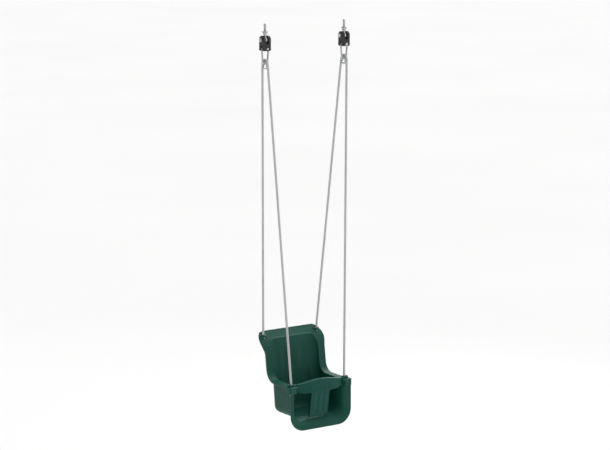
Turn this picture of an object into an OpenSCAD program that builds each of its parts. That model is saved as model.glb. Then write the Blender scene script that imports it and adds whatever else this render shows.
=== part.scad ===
// Toddler bucket swing: a moulded high-back seat hung by two ropes from two hangers under a beam.
// Origin: midway between the two studs, in the plane of the beam's underside.
// +X runs along the beam, the child faces -Y, +Z is up. All sizes in millimetres.

/* [Hangers] */
// Distance between the two hangers along the beam
hanger_spacing = 410; // [380:5:480]
// Diameter of the threaded stud that goes up into the beam
stud_d = 12; // [10:1:13]
// Length of stud above the beam's underside
stud_l = 32; // [20:1:60]
// Height of the pivot bolt's axis below the beam
pivot_drop = 38; // [36:1:46]
// Diameter of the pivot bolt
bolt_d = 10; // [8:1:12]
// Width of the yoke along the beam
yoke_w = 38; // [34:1:46]
// Depth of the yoke across the beam
yoke_d = 38; // [34:1:46]
// Diameter of the cross pin that the carabiner hangs on
pin_d = 8; // [6:1:9]

/* [Carabiners] */
// Diameter of the carabiner's round bar
bar_d = 8; // [7:0.5:9]
// Radius of the wide upper bow, to the middle of the bar
bow_r = 16; // [15:1:19]
// Radius of the narrow lower bow, to the middle of the bar
toe_r = 12; // [11:0.5:13]
// Distance between the centres of the two bows
bow_gap = 44; // [42:1:56]
// Diameter of the gate's hinge rivet
rivet_d = 3; // [2:0.5:3.5]

/* [Ropes] */
// Diameter of the rope
rope_d = 10; // [8:1:11]
// Radius that the rope takes round the thimble, to the middle of the rope
thimble_r = 20.5; // [20:0.5:24]
// Width of the thimble
thimble_w = 13; // [13:0.5:14]
// Length of the ferrule pressed on each rope end
ferrule_l = 24; // [16:1:34]
// Outside diameter of the ferrule
ferrule_d = 15; // [14:0.5:17]

/* [Seat] */
// Height from the beam's underside down to the top of the armrests
seat_drop = 1540; // [1200:10:1750]
// Outside width of the bucket
bucket_w = 252; // [220:2:270]
// Height from the bucket's underside to the top of the armrests
bucket_h = 154; // [130:2:180]
// Length of the bucket from the start of the front lip to the backrest, at armrest height
bucket_l = 171; // [150:1:200]
// Distance from the hanger axis forward to the start of the front lip
seat_ahead = 82; // [70:1:90]
// Thickness of the moulded wall
wall = 3.5; // [3:0.5:5]
// Outside radius of the bucket's lower edges
lower_r = 33.5; // [28:0.5:45]
// Outside radius of the bucket's two rear corners
rear_r = 35; // [28:1:50]
// Lean of the backrest panel
back_lean = 6; // [4:0.5:9]
// Radius of the flared front lip
lip_r = 45; // [38:1:52]
// Width across the armrests' flanges
rim_w = 312; // [306:2:330]
// How much further the front ears and the top flare stand out on each side
ear_out = 9; // [4:1:16]
// Depth of the turned-down front edge of each ear
ear_h = 28; // [14:1:34]
// Width across the mouth of the flared lip
mouth_w = 314; // [300:2:330]
// Radius of the rim's two top corners
rim_corner_r = 45; // [35:1:60]
// Length of the straight flare at the top of the rim
flare_l = 46; // [36:1:60]

/* [Guard] */
// How far the guard's cross bar reaches below the armrests
guard_drop = 33; // [28:1:40]
// How far the middle of the cross bar rises above its ends
guard_rise = 16; // [8:1:22]
// Depth of the cross bar's top face
guard_deep = 24; // [18:1:26]
// Thickness of the guard's walls
guard_t = 7; // [5:0.5:9]
// How far the cross bar bows forward at the middle
guard_bow = 20; // [12:1:28]
// Width of the post between the legs
post_w = 94; // [70:2:100]
// How far the guard slides up the front ropes
guard_travel = 160; // [100:5:180]

/* [Hidden] */
$fn = 64;
gap = 0.3;
running = 0.05;
far = 400;

sides = [-1, 1];

// Hangers, measured down from the beam
stud_tip = 1.5;
washer_r = 15;
washer_t = 2.5;
nut_af = 19;
nut_h = 10;
nut_flange_r = 13;
nut_flange_t = 2.5;
eye_r = 12;
eye_w = 12;
bush_wall = 2;
bush_r = bolt_d / 2 + running + bush_wall;
bush_w = eye_w + 1;
upper_slot_w = eye_w + 2;
upper_slot_floor = pivot_drop + eye_r + 4;
yoke_round = yoke_d / 2;
bolt_af = 1.6 * bolt_d;
bolt_head_h = 6;
bolt_nut_h = 8;
bolt_tail = 2;

// Carabiner, hung on the cross pin; its local z is 0 at the upper bow's centre
bar_r = bar_d / 2;
pin_r = pin_d / 2;
bow_top = upper_slot_floor + 8;
bow_z = -(bow_top + bow_r + bar_r + 1);
pin_z = bow_z + bow_r - bar_r - pin_r - 0.2;
toe_z = bow_z - bow_gap;
yoke_bottom = pin_z - pin_r - 5.5;
lower_slot_w = bar_d + 2;
tilt_side = asin((bow_r - toe_r) / bow_gap);
side_dir = [sin(tilt_side), cos(tilt_side)];
side_out = [cos(tilt_side), -sin(tilt_side)];
toe_end = [0, toe_z] + toe_r * side_out;
bow_end = [0, bow_z] + bow_r * side_out;
hinge_up = bar_r + 1;
nose_back = 4;
side_l = norm(bow_end - toe_end);
hinge_at = toe_end + hinge_up * side_dir;
nose_at = bow_end - nose_back * side_dir;
gate_l = side_l - hinge_up - nose_back - 0.5;
tongue_t = 3;
seat_in = 1;
straight_r = bar_r - 0.05;
fork_w = tongue_t + 0.4;
rivet_r = rivet_d / 2;
spring_r = 1.6;
spring_wire = 0.5;
spring_l = 14;
spring_coils = 7;

// Pin head and retaining ring
pin_head_r = pin_r + 2.5;
pin_head_t = 3;
ring_t = 1.2;
ring_out = yoke_d / 2 + 1.2;
groove_r = pin_r - 0.8;

// Thimble and rope: the loop hangs on the carabiner's lower bow and leans in towards the seat
rope_r = rope_d / 2;
thimble_hole_r = 12;
toe_in_r = toe_r - bar_r;
toe_rise = toe_in_r - sqrt(max(0, toe_in_r * toe_in_r - thimble_w * thimble_w / 4));
thimble_rest = 0.0636;
thimble_z = toe_z - toe_in_r - thimble_hole_r + toe_rise + thimble_rest;
hanger_x = hanger_spacing / 2;

// Seat: local z is 0 at the top of the armrests
arm_z = -seat_drop;
half_w = bucket_w / 2;
lip_y = -seat_ahead;
edge_y = lip_y - lip_r;
back_y = bucket_l - seat_ahead;
rim_t = 4;
rim_bend_y = 14;
rim_r1 = 50;
rim_lean = 8;
rim_wing = 57.5;
rim_r2 = 125;
rim_flare = 45;
inner_w = half_w - wall;
inner_top_r = 30;
heel_r = 30;
ear_half = rim_w / 2 + ear_out;
ear_l = 52;
ear_corner = 8;
mouth_corner = 57;

function turn(a) = [cos(a), sin(a)];
function arc(c, r, a0, a1, n) = [for (i = [0:n]) c + r * turn(a0 + (a1 - a0) * i / n)];
function back_to_front(p) = [for (i = [len(p) - 1:-1:0]) p[i]];

// Side view of the rim sheet at depth t behind its upper surface, as [y, z]
wing_foot = [rim_bend_y, rim_r1] + rim_r1 * turn(-rim_lean);
wing_head = wing_foot + rim_wing * [sin(rim_lean), cos(rim_lean)];
flare_centre = wing_head + rim_r2 * [cos(rim_lean), -sin(rim_lean)];
flare_foot = flare_centre + rim_r2 * turn(180 - rim_flare);
flare_dir = [sin(rim_flare), cos(rim_flare)];
flare_end = flare_foot + flare_l * flare_dir;
function behind(t) = t * [cos(rim_flare), -sin(rim_flare)];
function rim_side(t) = concat(
    [[edge_y, -t]],
    arc([rim_bend_y, rim_r1], rim_r1 + t, -90, -rim_lean, 12),
    arc(flare_centre, rim_r2 - t, 180 - rim_lean, 180 - rim_flare, 8),
    [flare_end + behind(t)]);
rim_top = flare_end[1];
panel_top = flare_foot[1];

// Rope holes through upright bosses: the middle of each boss's lower face, on the seat's own frame
boss_h = 12;
boss_r = 13;
rear_y = 120;
rear_hole = [141, rear_y, panel_top + rear_y - flare_foot[0] - boss_h / 2];
front_hole = [half_w + 13.5, lip_y - 19, -boss_h];
eyelet_wall = 2;
eyelet_bore_r = rope_r + 1.4;
eyelet_r = eyelet_bore_r + eyelet_wall;
eyelet_flange_r = eyelet_r + 2.7;
eyelet_flange_t = 1.5;
washer_out_r = eyelet_r + 0.6;
rope_washer_t = 2;

function on_beam(p) = [p[0], p[1], p[2] + arm_z];
lean_in = atan((hanger_x - front_hole[0]) / (seat_drop + thimble_z));
thimble_at = [hanger_x, 0, thimble_z];

// Angle from the vertical at which a strand leaves the thimble, for a hole on its own side
function leave(hole) = let (d = [abs(hole[1]), thimble_z - arm_z - hole[2]])
    atan(d[0] / d[1]) - asin(thimble_r / norm(d));
rear_leave = leave(rear_hole);
front_leave = leave(front_hole);
function lean(p) = let (c = cos(lean_in), s = sin(lean_in)) [p[0] * c + p[2] * s, p[1], p[2] * c - p[0] * s];
bend = 180 - rear_leave - front_leave;
front_top = thimble_at + thimble_r * lean([0, -cos(front_leave), sin(front_leave)]);
function unit(v) = v / norm(v);
front_dir = unit(front_top - on_beam(front_hole));

// Guard
eye_boss_r = 12;
eye_boss_h = 10;
eye_at = front_hole + (boss_h + eye_boss_h / 2) * front_dir / front_dir[2];
slot_run = guard_travel * front_dir[0] / front_dir[2] + 0.5;
guard_eye_r = rope_r + 1.3;
bar_end_y = front_hole[1] - 8;
bar_half = front_hole[0] - 4;
bar_circle = (bar_half * bar_half + guard_bow * guard_bow) / (2 * guard_bow);
bar_front_y = bar_end_y - guard_bow;
bar_end_top = gap + 0.6 * eye_boss_h;
bar_reach = inner_w - 2;
bar_plate_t = 5;
function bar_top(x) = bar_end_top + guard_rise * pow(cos(90 * x / bar_half), 2);
post_foot_y = lip_y - 17;
post_foot_z = -bucket_h + wall + 1.5;

// ---- placing helpers ----
module on_side(s) { mirror([s < 0 ? 1 : 0, 0, 0]) children(); }
module at_hanger(s) { on_side(s) translate([hanger_x, 0, 0]) children(); }
module under_beam(s) { translate([s * hanger_x, 0, 0]) children(); }
module side_slab(w) { rotate([90, 0, 90]) linear_extrude(w, center = true) children(); }
module front_slab(d) { rotate([90, 0, 0]) linear_extrude(d, center = true) children(); }
module at_seat() { translate([0, 0, arm_z]) children(); }
module point_along(at, dir) {
    translate(at) rotate([0, acos(dir[2]), atan2(dir[1], dir[0])]) children();
}
module tube(r_out, r_in, h) {
    difference() {
        cylinder(h = h, r = r_out);
        translate([0, 0, -1]) cylinder(h = h + 2, r = r_in);
    }
}
module rod_between(a, b, r) {
    point_along(a, unit(b - a)) cylinder(h = norm(b - a), r = r);
}

// ---- hangers ----
module eye_stud() {
    difference() {
        union() {
            cylinder(h = stud_l - stud_tip, r = stud_d / 2);
            translate([0, 0, stud_l - stud_tip])
                cylinder(h = stud_tip, r1 = stud_d / 2, r2 = stud_d / 2 - 0.8 * stud_tip);
            translate([0, 0, -pivot_drop]) cylinder(h = pivot_drop, r = stud_d / 2 - running);
            translate([-eye_w / 2, 0, -pivot_drop]) rotate([0, 90, 0]) cylinder(h = eye_w, r = eye_r);
        }
        translate([0, 0, -pivot_drop]) rotate([0, 90, 0]) cylinder(h = 2 * eye_w, r = bush_r, center = true);
    }
}
module eye_stud_left() { color("silver") under_beam(-1) eye_stud(); }
module eye_stud_right() { color("silver") under_beam(1) eye_stud(); }

module beam_washers() {
    color("silver") for (s = sides) at_hanger(s)
        translate([0, 0, -washer_t]) tube(washer_r, stud_d / 2 + running, washer_t);
}

module flange_nuts() {
    color("gray") for (s = sides) at_hanger(s) translate([0, 0, -washer_t - nut_flange_t - nut_h])
        difference() {
            union() {
                cylinder(h = nut_h, r = nut_af / sqrt(3), $fn = 6);
                translate([0, 0, nut_h]) cylinder(h = nut_flange_t, r = nut_flange_r);
            }
            translate([0, 0, -1]) cylinder(h = nut_h + nut_flange_t + 2, r = stud_d / 2 + running);
        }
}

module eye_bushes() {
    color("white") for (s = sides) at_hanger(s) translate([-bush_w / 2, 0, -pivot_drop])
        rotate([0, 90, 0]) tube(bush_r, bolt_d / 2 + running, bush_w);
}

module yoke() {
    difference() {
        intersection() {
            side_slab(yoke_w) {
                translate([0, -pivot_drop]) circle(r = yoke_round);
                translate([-yoke_d / 2, yoke_bottom + 5]) square([yoke_d, -pivot_drop - yoke_bottom - 5]);
                translate([-yoke_d / 2 + 5, yoke_bottom]) square([yoke_d - 10, 5]);
                for (s = sides) translate([s * (yoke_d / 2 - 5), yoke_bottom + 5]) circle(r = 5);
            }
            front_slab(2 * yoke_d) {
                translate([-yoke_w / 2, yoke_bottom + 6]) square([yoke_w, far]);
                translate([-yoke_w / 2 + 6, yoke_bottom]) square([yoke_w - 12, 6]);
                for (s = sides) translate([s * (yoke_w / 2 - 6), yoke_bottom + 6]) circle(r = 6);
            }
        }
        translate([-upper_slot_w / 2, -far / 2, -upper_slot_floor]) cube([upper_slot_w, far, far]);
        translate([-far / 2, -lower_slot_w / 2, -far - bow_top]) cube([far, lower_slot_w, far]);
        translate([0, 0, -pivot_drop]) rotate([0, 90, 0])
            cylinder(h = far, r = bolt_d / 2 + running, center = true);
        translate([0, 0, pin_z]) rotate([90, 0, 0]) cylinder(h = far, r = pin_r + running, center = true);
    }
}
module yoke_left() { color("#1c1c1e") at_hanger(-1) yoke(); }
module yoke_right() { color("#1c1c1e") at_hanger(1) yoke(); }

module pivot_bolts() {
    color("silver") for (s = sides) at_hanger(s) translate([0, 0, -pivot_drop]) rotate([0, 90, 0]) {
        translate([0, 0, -yoke_w / 2 - bolt_head_h]) rotate([0, 0, 30])
            cylinder(h = bolt_head_h, r = bolt_af / sqrt(3), $fn = 6);
        translate([0, 0, -yoke_w / 2 - 1]) cylinder(h = yoke_w + bolt_nut_h + bolt_tail + 1, r = bolt_d / 2);
    }
}

module pivot_nuts() {
    color("gray") for (s = sides) at_hanger(s) translate([yoke_w / 2, 0, -pivot_drop]) rotate([0, 90, 0])
        difference() {
            rotate([0, 0, 30]) cylinder(h = bolt_nut_h, r = bolt_af / sqrt(3), $fn = 6);
            translate([0, 0, -1]) cylinder(h = bolt_nut_h + 2, r = bolt_d / 2 + running);
        }
}

module cross_pins() {
    color("silver") for (s = sides) at_hanger(s) translate([0, -yoke_d / 2, pin_z]) rotate([-90, 0, 0])
        difference() {
            union() {
                translate([0, 0, -pin_head_t]) cylinder(h = pin_head_t, r = pin_head_r);
                cylinder(h = yoke_d + 4.5, r = pin_r);
            }
            translate([0, 0, yoke_d / 2 + ring_out]) tube(pin_r + 1, groove_r, ring_t);
        }
}

module pin_rings() {
    color("gray") for (s = sides) at_hanger(s) translate([0, ring_out, pin_z]) rotate([-90, 0, 0])
        translate([0, 0, 0.1]) tube(pin_head_r, groove_r + running, ring_t - 0.2);
}

// ---- carabiners, in the plane of the beam ----
module bow(centre_z, r, a0, a1) {
    translate([0, 0, centre_z]) rotate([90, 0, 0]) rotate([0, 0, a0])
        rotate_extrude(angle = a1 - a0) translate([r, 0]) circle(r = bar_r);
}
function flat(p) = [p[0], 0, p[1]];

module carabiner() {
    difference() {
        union() {
            bow(bow_z, bow_r, -tilt_side, 180 + tilt_side);
            bow(toe_z, toe_r, 180 + tilt_side, 360 - tilt_side);
            mirror([1, 0, 0])
                rod_between(
                    flat(toe_end - seat_in * side_dir),
                    flat(bow_end + seat_in * side_dir),
                    straight_r);
            rod_between(flat(nose_at), flat(bow_end + seat_in * side_dir), straight_r);
            rod_between(flat(toe_end - seat_in * side_dir), flat(toe_end + 0.5 * side_dir), straight_r);
            translate(flat(hinge_at)) rotate([90, 0, 0])
                cylinder(h = tongue_t, r = bar_r - 0.4, center = true);
            translate(flat((toe_end + hinge_at) / 2)) rotate([0, tilt_side, 0])
                cube([2 * bar_r - 2, tongue_t, hinge_up + 1], center = true);
        }
        translate(flat(hinge_at)) rotate([90, 0, 0])
            cylinder(h = far, r = rivet_r + running, center = true);
    }
}
module carabiner_left() { color("#b9bcbe") at_hanger(-1) carabiner(); }
module carabiner_right() { color("#b9bcbe") at_hanger(1) carabiner(); }

module gate() {
    difference() {
        union() {
            rod_between(flat(hinge_at), flat(hinge_at + gate_l * side_dir), bar_r);
            translate(flat(hinge_at)) rotate([90, 0, 0]) cylinder(h = bar_d, r = bar_r, center = true);
        }
        translate(flat(hinge_at)) rotate([0, tilt_side, 0])
            translate([-far / 2, -fork_w / 2, -far + bar_r + 0.4]) cube([far, fork_w, far]);
        translate(flat(hinge_at)) rotate([90, 0, 0])
            cylinder(h = far, r = rivet_r + running, center = true);
        point_along(flat(hinge_at + (bar_r + 0.4) * side_dir), flat(side_dir))
            cylinder(h = spring_l + 0.4, r = spring_r + spring_wire / 2 + 0.15);
    }
}
module gate_left() { color("#a9adb0") at_hanger(-1) gate(); }
module gate_right() { color("#a9adb0") at_hanger(1) gate(); }

module gate_rivets() {
    color("gray") for (s = sides) at_hanger(s) translate(flat(hinge_at)) rotate([90, 0, 0])
        cylinder(h = bar_d + 0.6, r = rivet_r, center = true);
}

// The gate's push spring, shown as its close-wound rings
module gate_spring() {
    pitch = (spring_l - 2 * spring_wire) / spring_coils;
    point_along(flat(hinge_at + (bar_r + 0.6) * side_dir), flat(side_dir)) {
        for (i = [0:spring_coils]) translate([0, 0, spring_wire / 2 + i * pitch])
            rotate_extrude() translate([spring_r, 0]) circle(r = spring_wire / 2, $fn = 16);
        translate([0, spring_r, 0]) cylinder(h = spring_coils * pitch + spring_wire, r = spring_wire / 3);
    }
}
module gate_spring_left() { color("silver") at_hanger(-1) gate_spring(); }
module gate_spring_right() { color("silver") at_hanger(1) gate_spring(); }

// ---- thimbles and ropes ----
module thimble() {
    chamfer = 2;
    translate([0, 0, thimble_z]) rotate([0, 90 + lean_in, 0]) rotate_extrude() difference() {
        polygon([
            [thimble_hole_r + chamfer, -thimble_w / 2], [thimble_r - 1, -thimble_w / 2],
            [thimble_r - 1, thimble_w / 2], [thimble_hole_r + chamfer, thimble_w / 2],
            [thimble_hole_r, thimble_w / 2 - chamfer], [thimble_hole_r, chamfer - thimble_w / 2]]);
        translate([thimble_r, 0]) circle(r = rope_r + 0.2);
    }
}
module thimble_left() { color("#8f9396") at_hanger(-1) thimble(); }
module thimble_right() { color("#8f9396") at_hanger(1) thimble(); }

// One rope: up from the rear hole, over the thimble, down to the front hole
rope_sides = 10;
bend_steps = 20;
rope_route = concat(
    [on_beam(rear_hole) - [0, 0, rope_washer_t + ferrule_l], on_beam(rear_hole)],
    [for (i = [0:bend_steps]) thimble_at + thimble_r
        * lean([0, cos(rear_leave + i * bend / bend_steps), sin(rear_leave + i * bend / bend_steps)])],
    [on_beam(front_hole), on_beam(front_hole) - [0, 0, rope_washer_t + ferrule_l]]);

// A tube of radius r through the points p, whose bends lie near the plane across side_axis
module sweep_tube(p, r, n, side_axis) {
    last = len(p) - 1;
    rings = [for (i = [0:last]) let (
        t = unit(p[min(i + 1, last)] - p[max(i - 1, 0)]),
        u = unit(cross(t, side_axis)),
        v = cross(t, u))
        for (k = [0:n - 1]) p[i] + r * (cos(360 * k / n) * u + sin(360 * k / n) * v)];
    faces = concat(
        [back_to_front([for (k = [0:n - 1]) k])],
        [for (i = [0:last - 1]) for (k = [0:n - 1])
            [i * n + k, i * n + (k + 1) % n, (i + 1) * n + (k + 1) % n, (i + 1) * n + k]],
        [[for (k = [0:n - 1]) last * n + k]]);
    polyhedron(rings, faces);
}
module rope() { sweep_tube(rope_route, rope_r, rope_sides, [cos(lean_in), 0, -sin(lean_in)]); }
module rope_left() { color("#c9cbcb") on_side(-1) rope(); }
module rope_right() { color("#c9cbcb") on_side(1) rope(); }

// ---- seat ----
// Side view of the bucket and backrest, drawn in by t all round; open views run on to the front and top
module side_view(t) {
    y0 = back_y + (wall - t) / cos(back_lean);
    floor_z = -bucket_h + t;
    corner = heel_r - t;
    slope = tan(back_lean);
    corner_z = floor_z + corner;
    corner_y = y0 + slope * corner_z - corner;
    outline = concat(
        [[lip_y, floor_z]],
        arc([corner_y, corner_z], corner, -90, -back_lean, 8),
        [[y0 + slope * panel_top, panel_top]],
        back_to_front([for (p = rim_side(0))
            if (p[1] < panel_top + 0.1 && p[0] > lip_y && p[0] < y0 + slope * p[1] - 1) p]),
        [[lip_y, 0]]);
    polygon(outline);
}
module cavity_side_view() {
    floor_z = -bucket_h + wall;
    corner = heel_r - wall;
    slope = tan(back_lean);
    corner_z = floor_z + corner;
    polygon(concat(
        [[-far, floor_z]],
        arc([back_y + slope * corner_z - corner, corner_z], corner, -90, -back_lean, 8),
        [[back_y + slope * far, far], [-far, far]]));
}
module front_view(half, low, low_r, high, high_r) {
    translate([-half, low + low_r]) square([2 * half, high - high_r - low - low_r]);
    translate([-half + low_r, low]) square([2 * (half - low_r), low_r + 0.1]);
    translate([-half + high_r, high - high_r - 0.1]) square([2 * (half - high_r), high_r + 0.1]);
    for (s = sides) {
        translate([s * (half - low_r), low + low_r]) circle(r = low_r);
        translate([s * (half - high_r), high - high_r]) circle(r = high_r);
    }
}
module plan_view(half, rear, r) {
    translate([-half, -far]) square([2 * half, far + rear - r]);
    translate([-half + r, rear - r - 1]) square([2 * (half - r), r + 1]);
    for (s = sides) translate([s * (half - r), rear - r]) circle(r = r);
}
module reclined() {
    translate([0, back_y, 0]) rotate([-back_lean, 0, 0]) linear_extrude(2 * far, center = true) children();
}
module cavity() {
    intersection() {
        side_slab(bucket_w) cavity_side_view();
        front_slab(2 * far) front_view(inner_w, -bucket_h + wall, lower_r - wall, panel_top, inner_top_r);
        reclined() plan_view(inner_w, 0, rear_r - wall);
    }
}
module shell_body() {
    intersection() {
        side_slab(bucket_w) side_view(0);
        front_slab(2 * far) front_view(half_w, -bucket_h, lower_r, panel_top + wall, inner_top_r + wall);
        reclined() plan_view(half_w, wall, rear_r);
    }
}
// The rim's half width at height z: it widens into the top flare
flare_rise = 50;
function ease(t) = let (c = max(0, min(1, t))) c * c * (3 - 2 * c);
corner_foot = rim_top - rim_corner_r;
function rim_half(z) = rim_w / 2 + ear_out * ease((z - corner_foot + flare_rise) / flare_rise);
rim_right = concat(
    [[rim_w / 2, -60]],
    [for (i = [0:7]) let (z = corner_foot - flare_rise * (1 - i / 8)) [rim_half(z), z]],
    arc([ear_half - rim_corner_r, rim_top - rim_corner_r], rim_corner_r, 0, 90, 10));
module rim_sheet() {
    intersection() {
        side_slab(2 * ear_half) polygon(concat(rim_side(0), back_to_front(rim_side(rim_t))));
        front_slab(2 * far) polygon(concat(rim_right, [for (p = back_to_front(rim_right)) [-p[0], p[1]]]));
    }
}

// The ear at the front of each armrest, drawn in by t: plan view, then a turned-down front edge
function ear_plan(t) = concat(
    [[inner_w, edge_y + t]],
    arc([ear_half - ear_corner, edge_y + ear_corner], ear_corner - t, -90, 0, 6),
    [[ear_half - t, edge_y + ear_l / 2], [rim_w / 2 - t, edge_y + ear_l], [inner_w, edge_y + ear_l]]);
module ear() {
    translate([0, 0, -rim_t]) linear_extrude(rim_t) polygon(ear_plan(0));
    intersection() {
        translate([0, 0, -ear_h]) linear_extrude(ear_h) difference() {
            polygon(ear_plan(0));
            polygon(ear_plan(wall));
        }
        translate([half_w + 4, edge_y - 1, -far]) cube([far, ear_l - 4, far]);
    }
}

// Quarter ring of the flared lip, with its curve's centre at [away, lip_y]
module lip_profile(away) {
    intersection() {
        difference() {
            translate([away, lip_y]) circle(r = lip_r);
            translate([away, lip_y]) circle(r = lip_r - wall);
        }
        translate([away - lip_r, lip_y - lip_r]) square([lip_r, lip_r]);
    }
}
module front_lip() {
    intersection() {
        lip_sheet();
        front_slab(2 * far) front_view(mouth_w / 2, wall - bucket_h - lip_r, mouth_corner, 1, 1);
    }
}
module lip_sheet() {
    bend_x = half_w - lower_r;
    bend_z = -bucket_h + lower_r;
    in_r = lower_r - wall;
    for (s = sides) on_side(s) {
        translate([0, 0, bend_z]) linear_extrude(-bend_z - 0.1) lip_profile(inner_w + lip_r);
        translate([bend_x, 0, bend_z]) rotate([90, 0, 0]) mirror([0, 0, 1]) mirror([0, 1, 0])
            rotate_extrude(angle = 90) lip_profile(in_r + lip_r);
    }
    rotate([0, 90, 0]) linear_extrude(2 * bend_x, center = true)
        lip_profile(bucket_h - wall + lip_r);
}

module seat_boss(hole) { translate(hole) cylinder(h = boss_h, r = boss_r); }
module seat_bore(hole) {
    translate(hole - [0, 0, 30]) cylinder(h = boss_h + 60, r = eyelet_r + running);
    translate(hole - [0, 0, 30]) cylinder(h = 30, r = washer_out_r + gap);
    translate(hole + [0, 0, boss_h - eyelet_flange_t]) cylinder(h = 30, r = eyelet_flange_r + 0.1);
}
module seat_shell() {
    color("#1c4a3c") at_seat() difference() {
        union() {
            shell_body();
            rim_sheet();
            front_lip();
            for (s = sides) on_side(s) ear();
            for (s = sides, hole = [rear_hole, front_hole]) on_side(s) seat_boss(hole);
        }
        cavity();
        for (s = sides, hole = [rear_hole, front_hole]) on_side(s) seat_bore(hole);
    }
}

// ---- rope fittings at the seat ----
module eyelets(hole) {
    for (s = sides) on_side(s) translate(on_beam(hole)) difference() {
        union() {
            cylinder(h = boss_h, r = eyelet_r);
            translate([0, 0, boss_h - eyelet_flange_t]) cylinder(h = eyelet_flange_t, r = eyelet_flange_r);
        }
        translate([0, 0, -1]) cylinder(h = boss_h + 2, r = eyelet_bore_r);
    }
}
module rear_eyelets() { color("#26282a") eyelets(rear_hole); }
module front_eyelets() { color("#26282a") eyelets(front_hole); }

module rope_washers(hole) {
    for (s = sides) on_side(s) translate(on_beam(hole) - [0, 0, rope_washer_t])
        tube(washer_out_r, rope_r + 0.4, rope_washer_t);
}
module rear_washers() { color("silver") rope_washers(rear_hole); }
module front_washers() { color("silver") rope_washers(front_hole); }

module ferrules(hole) {
    round_r = 2;
    for (s = sides) on_side(s) translate(on_beam(hole) - [0, 0, rope_washer_t + ferrule_l]) difference() {
        union() {
            translate([0, 0, round_r]) cylinder(h = ferrule_l - 2 * round_r, r = ferrule_d / 2);
            cylinder(h = ferrule_l, r = ferrule_d / 2 - round_r);
            for (z = [round_r, ferrule_l - round_r]) translate([0, 0, z])
                rotate_extrude() translate([ferrule_d / 2 - round_r, 0]) circle(r = round_r);
        }
        translate([0, 0, -1]) cylinder(h = ferrule_l + 2, r = rope_r);
    }
}
module rear_ferrules() { color("#9a9d9f") ferrules(rear_hole); }
module front_ferrules() { color("#9a9d9f") ferrules(front_hole); }

// ---- guard: cross bar, crotch post and the two rope eyes ----
module guard_eye() {
    translate([eye_at[0], eye_at[1], gap]) cylinder(h = eye_boss_h, r = eye_boss_r);
    translate([eye_at[0] + slot_run, eye_at[1], gap]) cylinder(h = eye_boss_h, r = eye_boss_r);
    translate([eye_at[0], eye_at[1] - eye_boss_r, gap]) cube([slot_run, 2 * eye_boss_r, eye_boss_h]);
}
module guard_eye_slot() {
    for (x = [0, slot_run]) translate([eye_at[0] + x, eye_at[1], -1])
        cylinder(h = eye_boss_h + 3, r = guard_eye_r);
    translate([eye_at[0], eye_at[1] - guard_eye_r, -1]) cube([slot_run, 2 * guard_eye_r, eye_boss_h + 3]);
}

// A band of depth d behind the bar's bowed front, as high as its children's front view
module bowed(d) {
    intersection() {
        translate([0, bar_front_y + bar_circle, 0]) difference() {
            cylinder(h = far, r = bar_circle, center = true, $fn = 200);
            cylinder(h = far + 2, r = bar_circle - d, center = true, $fn = 200);
        }
        translate([0, -far / 2, 0]) front_slab(far) children();
    }
}
bar_crest = [for (i = [0:24]) let (x = bar_half * (i / 12 - 1)) [x, bar_top(x)]];
module guard_bar() {
    color("#1f5041") at_seat() difference() {
        union() {
            // front wall: below the armrests it stays between the bucket's walls
            bowed(guard_t) polygon(concat(bar_crest, [
                [bar_half, gap], [bar_reach, gap], [bar_reach, 9 - guard_drop], [0.6 * bar_half, -guard_drop],
                [-0.6 * bar_half, -guard_drop], [-bar_reach, 9 - guard_drop], [-bar_reach, gap],
                [-bar_half, gap]]));
            // top face
            bowed(guard_deep) polygon(concat(bar_crest,
                [for (p = back_to_front(bar_crest)) [p[0], p[1] - bar_plate_t]]));
            // crotch post
            side_slab(post_w) polygon([
                [bar_front_y + 1, -4], [bar_front_y + 1 + guard_t, -4],
                [post_foot_y, post_foot_z], [post_foot_y - guard_t, post_foot_z]]);
            for (s = sides) on_side(s) guard_eye();
        }
        for (s = sides) on_side(s) guard_eye_slot();
        // groove down the middle of the post
        rod_between([0, bar_front_y - 1.5, -guard_drop - 5],
            [0, post_foot_y - guard_t - 2.5, post_foot_z - 1], 4);
    }
}

eye_stud_left();
eye_stud_right();
beam_washers();
flange_nuts();
eye_bushes();
yoke_left();
yoke_right();
pivot_bolts();
pivot_nuts();
cross_pins();
pin_rings();
carabiner_left();
carabiner_right();
gate_left();
gate_right();
gate_rivets();
gate_spring_left();
gate_spring_right();
thimble_left();
thimble_right();
rope_left();
rope_right();
seat_shell();
rear_eyelets();
front_eyelets();
rear_washers();
front_washers();
rear_ferrules();
front_ferrules();
guard_bar();
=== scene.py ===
"""Looks of the toddler bucket swing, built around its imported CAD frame.

Shapes are worked out in millimetres and become metres only in the finished meshes. The origin is
midway between the two studs, in the plane of the beam's underside; +X along the beam, the child
faces -Y, +Z up. Seat shapes use z = 0 at the top of the armrests.
"""

import math
from functools import reduce

import bpy
import numpy as np
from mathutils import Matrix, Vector


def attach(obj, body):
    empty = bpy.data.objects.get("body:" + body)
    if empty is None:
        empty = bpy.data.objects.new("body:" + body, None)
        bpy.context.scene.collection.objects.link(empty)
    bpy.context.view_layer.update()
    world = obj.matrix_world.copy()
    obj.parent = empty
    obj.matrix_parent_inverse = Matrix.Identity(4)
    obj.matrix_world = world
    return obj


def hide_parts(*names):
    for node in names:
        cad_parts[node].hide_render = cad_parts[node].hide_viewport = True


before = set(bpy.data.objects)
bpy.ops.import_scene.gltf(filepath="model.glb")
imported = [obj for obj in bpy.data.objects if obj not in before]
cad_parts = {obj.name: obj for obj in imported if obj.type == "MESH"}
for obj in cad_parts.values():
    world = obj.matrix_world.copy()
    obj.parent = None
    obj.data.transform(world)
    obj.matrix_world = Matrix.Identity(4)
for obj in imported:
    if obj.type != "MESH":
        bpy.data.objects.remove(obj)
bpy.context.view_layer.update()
MM = 0.001

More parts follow.
